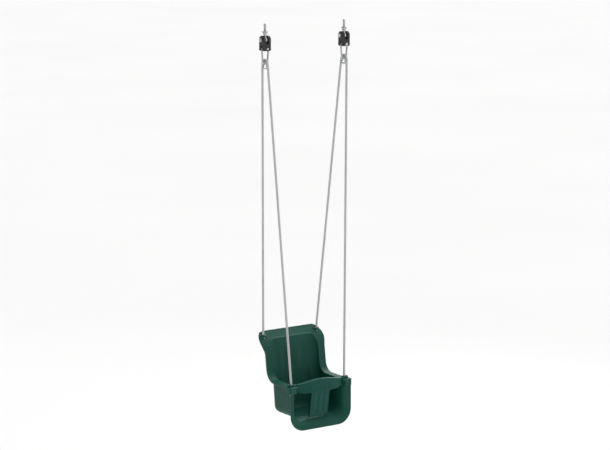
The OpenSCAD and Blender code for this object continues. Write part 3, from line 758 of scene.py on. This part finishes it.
PIN_HEAD_T = 3.0
GROOVE_R = 3.2
RING_AT = 20.2
RING_T = 1.2
BAR_R = 4.0
BOW_Z = -83.0
BOW_R = 16.0
TOE_Z = -127.0
TOE_R = 12.0
HINGE_UP = 5.0
NOSE_BACK = 4.0
TONGUE_T = 3.0
FORK_W = 3.4
RIVET_R = 1.5
SPRING_R = 1.6
SPRING_WIRE = 0.5
SPRING_L = 14.0
SPRING_COILS = 7
THIMBLE_HOLE_R = 12.0
THIMBLE_W = 13.0
ABOUT_X = np.array([[0, 0, 1], [0, 1, 0], [-1, 0, 0]])
ABOUT_Y = np.array([[1, 0, 0], [0, 0, 1], [0, -1, 0]])
HALF_TURN = np.diag([-1, -1, 1])


def ring(inner, outer, low, high, edge=0.4):
    """A turned ring with eased edges."""
    return lathe(eased([(inner, low), (outer, low), (outer, high), (inner, high)], edge))


def thread(x, y, z, pitch=THREAD_PITCH, height=THREAD_H):
    """Depth of a right-hand screw thread cut round the Z axis."""
    wave = np.abs((z / pitch - np.arctan2(y, x) / (2 * math.pi)) % 1 - 0.5) * 2
    return height * np.clip(1.25 * wave - 0.1, 0, 1)


def hexagon(x, y, flat, turned=0.0):
    """Distance to a hexagon with half its width across flats, one flat facing the turned angle."""
    return reduce(np.maximum, [np.abs(x * math.cos(a) + y * math.sin(a)) - flat
                               for a in (turned, turned + math.pi / 3, turned + 2 * math.pi / 3)])


def both_sides(mesh, left=HALF_TURN):
    """The part at the right-hand hanger and its copy at the left-hand one."""
    right = moved(mesh, shift=(HANGER_X, 0, 0))
    return merged(right, moved(moved(mesh, left), shift=(-HANGER_X, 0, 0)))


def stud_solid(x, y, z):
    """Threaded shank and pivot eye of a hanger stud."""
    across = np.hypot(x, y)
    fade = ease((z - STUD_THREAD_END) / 2)
    shank = common(0.4, across - STUD_R + RUNNING + fade * thread(x, y, z), slab(z, -PIVOT_DROP, STUD_L),
                   across + z - STUD_L - STUD_R + 1.6)
    eye = common(1.8, np.hypot(y, z + PIVOT_DROP) - EYE_OUT_R, np.abs(x) - EYE_W / 2)
    return common(0.5, joined(3, shank, eye), BUSH_R + RUNNING - np.hypot(y, z + PIVOT_DROP))


def flange_nut_solid(x, y, z):
    """Hexagon nut with a flange, below the stud's washer."""
    across = np.hypot(x, y)
    low, foot = -WASHER_T - NUT_FLANGE_T - NUT_H, -WASHER_T - NUT_FLANGE_T
    six = common(0.4, hexagon(x, y, NUT_FLAT, math.pi / 6), slab(z, low, foot + 1),
                 across - (z - low) - 9.9)
    flange = common(0.5, across - NUT_FLANGE_R, slab(z, foot - 1.4, -WASHER_T),
                    across + 1.6 * (foot - z) - 12.4)
    return common(0.3, joined(1.0, six, flange), STUD_R + RUNNING - across)


def yoke_solid(x, y, z):
    """Forked block that hangs on the pivot bolt and holds the carabiner's pin."""
    axis = np.hypot(y, z + PIVOT_DROP)
    round_top = np.minimum(axis - YOKE_HALF, np.maximum(np.abs(y) - YOKE_HALF, z + PIVOT_DROP))
    deep = np.maximum(round_top, -60)
    foot_y = rounded_rect(y, z - YOKE_BOTTOM - 40, YOKE_HALF, 40, 5)
    foot_x = rounded_rect(x, z - YOKE_BOTTOM - 60, YOKE_HALF, 60, 6)
    block = common(2.4, deep, foot_y, foot_x)
    upper = common(1.5, np.abs(x) - UPPER_SLOT, UPPER_SLOT_Z - z)
    lower = common(1.5, np.abs(y) - LOWER_SLOT, z - LOWER_SLOT_Z)
    block = common(1.2, block, -upper, -lower)
    # shallow panel sunk in each cheek, a raised land round the bolt and the pin
    land = np.minimum(axis - BOLT_LAND_R, 60)
    panel = common(1.5, CHEEK_FLOOR - np.abs(x),
                   common(2, np.abs(y) - PANEL_HALF, slab(z, -79, -30), -land))
    pin_land = np.hypot(x, z - PIN_Z) - PIN_LAND_R
    front_panel = common(1.5, FACE_FLOOR - np.abs(y),
                         common(2, np.abs(x) - PANEL_HALF, slab(z, -80, -60), -pin_land))
    block = common(0.8, block, -panel, -front_panel)
    holes = np.minimum(axis - BOLT_R - RUNNING, np.hypot(x, z - PIN_Z) - PIN_R - RUNNING)
    return common(0.5, block, -holes)


def bolt_solid(x, y, z):
    """The pivot bolt, drawn along +Z from the middle of the yoke."""
    across = np.hypot(x, y)
    head_low = -YOKE_HALF - BOLT_HEAD_H
    end = YOKE_HALF + BOLT_NUT_H + BOLT_TAIL
    dish = 0.7 * (1 - ease((across - 3.0) / 2.5))
    head = common(0.35, hexagon(x, y, BOLT_FLAT), slab(z, head_low + dish, -YOKE_HALF),
                  across - (z - head_low) - 8.4)
    fade = ease((z - 12.0) / 2)
    shank = common(0.3, across - BOLT_R + fade * thread(x, y, z, 1.5, 0.65), slab(z, -YOKE_HALF - 1, end),
                   across + z - end - BOLT_R + 1.2)
    return joined(0.6, head, shank)


def bolt_nut_solid(x, y, z):
    """Locking nut with its round collar, drawn from the yoke's face along +Z."""
    across = np.hypot(x, y)
    six = common(0.35, hexagon(x, y, BOLT_FLAT), slab(z, 0, BOLT_NUT_H - 2.4),
                 across - z - 8.6, across + z - BOLT_NUT_H + 2.4 - 8.6)
    collar = common(0.9, across - 7.4, slab(z, BOLT_NUT_H - 4, BOLT_NUT_H))
    return common(0.3, joined(0.5, six, collar), BOLT_R + RUNNING - across)


def snap_ring_solid(x, y, z):
    """Open retaining ring with an eye at each end of its gap."""
    across = np.hypot(x, y)
    band = np.maximum(np.hypot(x, y + 0.5) - 5.6, GROOVE_R + RUNNING - across)
    eyes = np.hypot(np.abs(x) - 1.7, y - 5.3) - 1.45
    flat_shape = common(0.3, joined(0.6, band, eyes), 0.75 - np.where(y > 0, np.abs(x), 9),
                        GROOVE_R + RUNNING - across)
    flat_shape = common(0.2, flat_shape, 0.5 - np.hypot(np.abs(x) - 1.75, y - 5.5))
    return common(0.25, flat_shape, slab(z, 0.1, RING_T - 0.1))


# ---- carabiners, drawn at x = 0 with the gate on +X ----
TILT = math.asin((BOW_R - TOE_R) / (BOW_Z - TOE_Z))
SIDE_DIR = np.array([math.sin(TILT), 0, math.cos(TILT)])
SIDE_OUT = np.array([math.cos(TILT), 0, -math.sin(TILT)])
TOE_END = np.array([0, 0, TOE_Z]) + TOE_R * SIDE_OUT
BOW_END = np.array([0, 0, BOW_Z]) + BOW_R * SIDE_OUT
HINGE_AT = TOE_END + HINGE_UP * SIDE_DIR
NOSE_AT = BOW_END - NOSE_BACK * SIDE_DIR
GATE_L = float(np.linalg.norm(BOW_END - TOE_END)) - HINGE_UP - NOSE_BACK - 0.5


def bowed(z, r, start, end, steps):
    """Points round one end of the carabiner."""
    return [np.array([p[0], 0, p[1]]) for p in arc((0, z), r, start, end, steps)]


def along_gate(x, y, z):
    """How far up the gate from its hinge, and how far from its middle line."""
    up = (x - HINGE_AT[0]) * SIDE_DIR[0] + (z - HINGE_AT[2]) * SIDE_DIR[2]
    out = (x - HINGE_AT[0]) * SIDE_OUT[0] + (z - HINGE_AT[2]) * SIDE_OUT[2]
    return up, np.hypot(out, y), out


def carabiner_solid(x, y, z):
    """Bent bar with its nose, hinge tongue and catch."""
    line = ([NOSE_AT] + bowed(BOW_Z, BOW_R, -TILT, math.pi + TILT, 22)
            + bowed(TOE_Z, TOE_R, math.pi + TILT, 2 * math.pi - TILT, 18))
    wire = reduce(np.minimum, [rod(x, y, z, a, b, BAR_R) for a, b in zip(line, line[1:])])
    up, off, out = along_gate(x, y, z)
    nose = up - (GATE_L + 0.5)
    on_gate_side = x - 0.4 * BOW_R
    between = common(0.5, slab(up, 0.2, GATE_L + 0.5), -on_gate_side)
    wire = common(0.6, wire, -between)
    below = common(0.6, off - BAR_R, slab(up, -HINGE_UP - 0.5, -BAR_R - 0.3))
    tongue = common(0.5, np.minimum(np.hypot(up, out) - BAR_R + 0.4,
                                    np.maximum(np.abs(out) - BAR_R + 0.8, slab(up, -HINGE_UP, 0))),
                    np.abs(y) - TONGUE_T / 2)
    catch = common(0.4, off - 2.2, slab(nose, -0.2, 1))
    fork_room = common(0.3, np.hypot(up, out) - BAR_R - 0.3, TONGUE_T / 2 - np.abs(y), -on_gate_side)
    body = joined(0.6, common(0.4, wire, -fork_room), below, catch)
    body = joined(0.6, body, tongue)
    return common(0.2, body, RIVET_R + RUNNING - np.hypot(up, out))


def gate_solid(x, y, z):
    """The gate, forked at its hinge and bored for the spring."""
    up, off, out = along_gate(x, y, z)
    grip = 0.25 * (np.abs(up - 13) < 4) * (0.5 + 0.5 * np.cos(2 * math.pi * up / 1.6))
    stem = common(0.7, off - BAR_R + grip, slab(up, 0, GATE_L))
    hinge = common(0.7, np.hypot(up, out) - BAR_R, np.abs(y) - BAR_R)
    fork = common(0.3, np.abs(y) - FORK_W / 2, up - BAR_R - 0.4)
    bore = np.maximum(off - SPRING_R - SPRING_WIRE / 2 - 0.15,
                      slab(up, BAR_R + 0.2, BAR_R + SPRING_L + 0.8))
    body = common(0.3, joined(0.8, stem, hinge), -fork, -bore)
    return common(0.2, body, RIVET_R + RUNNING - np.hypot(up, out))


def spring_mesh():
    """The coil inside the gate."""
    start = HINGE_AT + (BAR_R + 0.6) * SIDE_DIR
    turns = np.linspace(0, SPRING_COILS, SPRING_COILS * 20 + 1)
    angle, rise = 2 * math.pi * turns, SPRING_L / SPRING_COILS * turns
    third = np.array([0, 1.0, 0])
    path = (start + rise[:, None] * SIDE_DIR + SPRING_R * np.cos(angle)[:, None] * SIDE_OUT
            + SPRING_R * np.sin(angle)[:, None] * third)
    return sweep(path, np.full((len(path), 10), SPRING_WIRE / 2), SIDE_DIR)


def thimble_mesh():
    """Grooved ring the rope runs round, leaning with the rope."""
    half, rim, depth = THIMBLE_W / 2, THIMBLE_R - 1, ROPE_D / 2 + 0.2
    reach = math.acos(1 / depth)
    lower = [(THIMBLE_HOLE_R, 2.2 - half), (THIMBLE_HOLE_R + 0.6, 1.2 - half),
             (THIMBLE_HOLE_R + 2.2, -half), (rim - 0.6, -half), (rim, 0.6 - half)]
    groove = [(THIMBLE_R - depth * math.cos(a), depth * math.sin(a))
              for a in np.linspace(-reach, reach, 15)]
    tip = math.pi / 2 + LEAN_IN
    turned = np.array([[math.cos(tip), 0, math.sin(tip)], [0, 1, 0],
                       [-math.sin(tip), 0, math.cos(tip)]])
    outline = lower + groove + [(r, -z) for r, z in lower[::-1]]
    return moved(lathe(outline, 72), turned, (0, 0, THIMBLE_Z))


def ferrule_mesh(hole):
    """Pressed sleeve with three crimped bands."""
    low, r = -ROPE_WASHER_T - FERRULE_L, FERRULE_R
    rises = np.linspace(0, FERRULE_L, 41)
    band = sum(np.exp(-((rises - FERRULE_L * k / 4) / 1.5) ** 2) for k in (1, 2, 3))
    into_end = np.clip(np.abs(rises - FERRULE_L / 2) - FERRULE_L / 2 + 2, 0, 2)
    edge = np.sqrt(np.clip(1 - into_end ** 2 / 4, 0, 1))
    outer = r - 2 + 2 * edge - 0.55 * band
    outline = [(ROPE_D / 2, low)] + [(o, low + h) for o, h in zip(outer, rises)]
    outline = outline + [(ROPE_D / 2, low + FERRULE_L)]
    return moved(lathe(outline), shift=hole + SEAT_TOP)


def eyelet_mesh(hole):
    """Flanged liner of a rope hole."""
    inner, outer, flange = ROPE_D / 2 + 1.4, ROPE_D / 2 + 3.4, ROPE_D / 2 + 6.1
    top = BOSS_H
    outline = [(inner, 0.5), (inner + 0.5, 0), (outer - 0.4, 0), (outer, 0.4), (outer, top - 1.5),
               (flange - 0.5, top - 1.5), (flange, top - 1.1), (flange - 0.3, top - 0.4),
               (flange - 1.1, top), (inner + 1.3, top), (inner + 0.4, top - 0.4), (inner, top - 1.2)]
    return moved(lathe(outline), shift=hole + SEAT_TOP)


def mirrored_pair(mesh):
    """The part at both sides of the seat."""
    return merged(mesh, moved(mesh, MIRROR_X))


def place_hangers():
    """Studs, washers, nuts and bushes, which stay with the beam."""
    for side, name in ((-1, "left"), (1, "right")):
        stud = carve(stud_solid, (-12.2, -12.2, -50.2), (12.2, 12.2, 32), 0.55)
        stud = moved(stud, shift=(side * HANGER_X, 0, 0))
        piece("stud_" + name, stud, zinc, "hangers", ["eye_stud_" + name], keep=0.6)
    washer = ring(STUD_R + RUNNING, WASHER_R, -WASHER_T, 0, 0.5)
    piece("washers", both_sides(washer), zinc, "hangers", ["beam_washers"])
    nut = carve(flange_nut_solid, (-13.2, -13.2, -15.2), (13.2, 13.2, -2.3), 0.5)
    piece("nuts", both_sides(nut), zinc, "hangers", ["flange_nuts"], keep=0.5)
    bush = ring(BOLT_R + RUNNING, BUSH_R, -BUSH_W / 2, BUSH_W / 2, 0.5)
    bush = moved(bush, ABOUT_X, (0, 0, -PIVOT_DROP))
    piece("bushes", both_sides(bush), nylon, "hangers", ["eye_bushes"])


def place_swing_steel():
    """Yokes, bolts, pins, carabiners, gates and thimbles."""
    yoke = carve(yoke_solid, (-19.2, -19.2, -85), (19.2, 19.2, -18.8), 0.8)
    for turn, side, name in ((HALF_TURN, -1, "left"), (np.eye(3), 1, "right")):
        placed = moved(yoke, turn, (side * HANGER_X, 0, 0))
        piece("yoke_block_" + name, placed, yoke_black, "swing", ["yoke_" + name], keep=0.5)
    axis = (0, 0, -PIVOT_DROP)
    bolt = moved(carve(bolt_solid, (-9.3, -9.3, -25.2), (9.3, 9.3, 29.2), 0.5), ABOUT_X, axis)
    piece("bolts", both_sides(bolt), zinc, "swing", ["pivot_bolts"], keep=0.5)
    nut = moved(carve(bolt_nut_solid, (-9.3, -9.3, 0), (9.3, 9.3, 8.2), 0.45), ABOUT_X,
                (YOKE_HALF, 0, -PIVOT_DROP))
    piece("locking_nuts", both_sides(nut), zinc, "swing", ["pivot_nuts"], keep=0.5)
    far_end = YOKE_HALF + 4.5
    pin = [(0.02, -YOKE_HALF - PIN_HEAD_T), (PIN_HEAD_R - 1.1, -YOKE_HALF - PIN_HEAD_T),
           (PIN_HEAD_R - 0.3, -YOKE_HALF - PIN_HEAD_T + 0.4), (PIN_HEAD_R, -YOKE_HALF - PIN_HEAD_T + 1.2),
           (PIN_HEAD_R, -YOKE_HALF - 0.3), (PIN_HEAD_R - 0.3, -YOKE_HALF), (PIN_R, -YOKE_HALF),
           (PIN_R, RING_AT), (GROOVE_R, RING_AT), (GROOVE_R, RING_AT + RING_T), (PIN_R, RING_AT + RING_T),
           (PIN_R, far_end - 0.9), (PIN_R - 0.9, far_end), (0.02, far_end)]
    pin = moved(lathe(pin), ABOUT_Y, (0, 0, PIN_Z))
    piece("hanging_pins", both_sides(pin), zinc, "swing", ["cross_pins"])
    clip = carve(snap_ring_solid, (-6.8, -7.0, 0), (6.8, 7.0, 1.3), 0.3)
    clip = moved(clip, ABOUT_Y, (0, RING_AT, PIN_Z))
    piece("snap_rings", both_sides(clip, np.eye(3)), zinc, "swing", ["pin_rings"], keep=0.5)
    hook = carve(carabiner_solid, (-20.3, -4.2, -143.2), (20.3, 4.2, -62.8), 0.6)
    gate = carve(gate_solid, (6, -4.2, -128), (22, 4.2, -84), 0.5)
    thimble = thimble_mesh()
    for turn, side, name in ((MIRROR_X, -1, "left"), (np.eye(3), 1, "right")):
        at = (side * HANGER_X, 0, 0)
        piece("hook_" + name, moved(hook, turn, at), stainless, "swing",
              ["carabiner_" + name], keep=0.5)
        body = "gate_" + name[0]
        piece("hook_gate_" + name, moved(gate, turn, at), stainless, body,
              ["gate_" + name], keep=0.6)
        piece("spring_" + name, moved(spring_mesh(), turn, at), zinc, body,
              ["gate_spring_" + name])
        piece("thimble_ring_" + name, moved(thimble, turn, at), zinc, "swing",
              ["thimble_" + name])
    head, half = RIVET_R + 1.1, BAR_R + 0.1
    rivet = [(0.02, -half - 0.7), (head - 1.0, -half - 0.6), (head - 0.3, -half - 0.25), (head, -half),
             (RIVET_R, -half), (RIVET_R, half), (head, half), (head - 0.3, half + 0.25),
             (head - 1.0, half + 0.6), (0.02, half + 0.7)]
    rivet = moved(lathe(rivet, 32), ABOUT_Y, HINGE_AT)
    piece("rivets", both_sides(rivet, MIRROR_X), zinc, "swing", ["gate_rivets"])


def place_rope_fittings():
    """Liner, washer and sleeve at each rope hole."""
    for hole, end in ((REAR_HOLE, "rear"), (FRONT_HOLE, "front")):
        piece(end + "_liners", mirrored_pair(eyelet_mesh(hole)), eyelet_black, "swing",
              [end + "_eyelets"])
        washer = moved(ring(ROPE_D / 2 + 0.4, 9.0, -ROPE_WASHER_T, 0, 0.4), shift=hole + SEAT_TOP)
        piece(end + "_rope_washers", mirrored_pair(washer), zinc, "swing", [end + "_washers"])
        piece(end + "_sleeves", mirrored_pair(ferrule_mesh(hole)), alloy, "swing",
              [end + "_ferrules"])


place_hangers()
place_swing_steel()
place_rope_fittings()


# ---- studio ----
def studio():
    """White paper, soft sky and two lamps."""
    floor_z = -2.30
    bpy.ops.mesh.primitive_plane_add(size=300, location=(0, 0, floor_z))
    floor = bpy.context.object
    floor.name = "studio_floor"
    paper = finish_material("studio_paper", (0.82, 0.82, 0.817), (0.84, 0.84, 0.837), (0.85, 0.95),
                            0.4, 30, 0.0002)[0]
    floor.data.materials.append(paper)
    world = bpy.data.worlds.new("studio_world")
    world.use_nodes = True
    world.node_tree.nodes["Background"].inputs["Color"].default_value = (1.0, 1.0, 1.0, 1)
    soft = world.node_tree.nodes.new("ShaderNodeMapRange")
    soft.inputs["From Min"].default_value = -1
    soft.inputs["To Min"].default_value, soft.inputs["To Max"].default_value = 0.26, 1.06
    split = world.node_tree.nodes.new("ShaderNodeSeparateXYZ")
    world_links = world.node_tree.links
    world_links.new(world.node_tree.nodes.new("ShaderNodeTexCoord").outputs["Generated"], split.inputs[0])
    world_links.new(split.outputs["X"], soft.inputs["Value"])
    world_links.new(soft.outputs["Result"], world.node_tree.nodes["Background"].inputs["Strength"])
    bpy.context.scene.world = world
    sun = bpy.data.lights.new("sky", "SUN")
    sun.energy, sun.angle = 1.8, math.radians(55)
    high = bpy.data.objects.new("sky", sun)
    high.rotation_euler = (math.radians(-20), math.radians(28), 0)
    bpy.context.scene.collection.objects.link(high)
    for name, place, size, power in (("key", (-1.2, -3.4, 2.4), 2.0, 9), ("rim", (2.4, 1.6, 0.6), 1.5, 12)):
        light = bpy.data.lights.new(name, "AREA")
        light.size, light.energy = size, power
        lamp = bpy.data.objects.new(name, light)
        lamp.location = place
        lamp.rotation_euler = (Vector((0, 0, -1.2)) - Vector(place)).to_track_quat("-Z", "Y").to_euler()
        bpy.context.scene.collection.objects.link(lamp)
    bpy.context.scene.view_settings.view_transform = "Standard"


def camera():
    """The swing from its left front, a little above it."""
    lens = bpy.data.cameras.new("camera")
    lens.lens = 128
    lens.clip_end = 400
    eye = bpy.data.objects.new("camera", lens)
    eye.location = (-5.235, -7.700, 0.785)
    aim = Vector((0, 0, -0.855))
    eye.rotation_euler = (aim - eye.location).to_track_quat("-Z", "Y").to_euler()
    bpy.context.scene.collection.objects.link(eye)
    bpy.context.scene.camera = eye


studio()
camera()
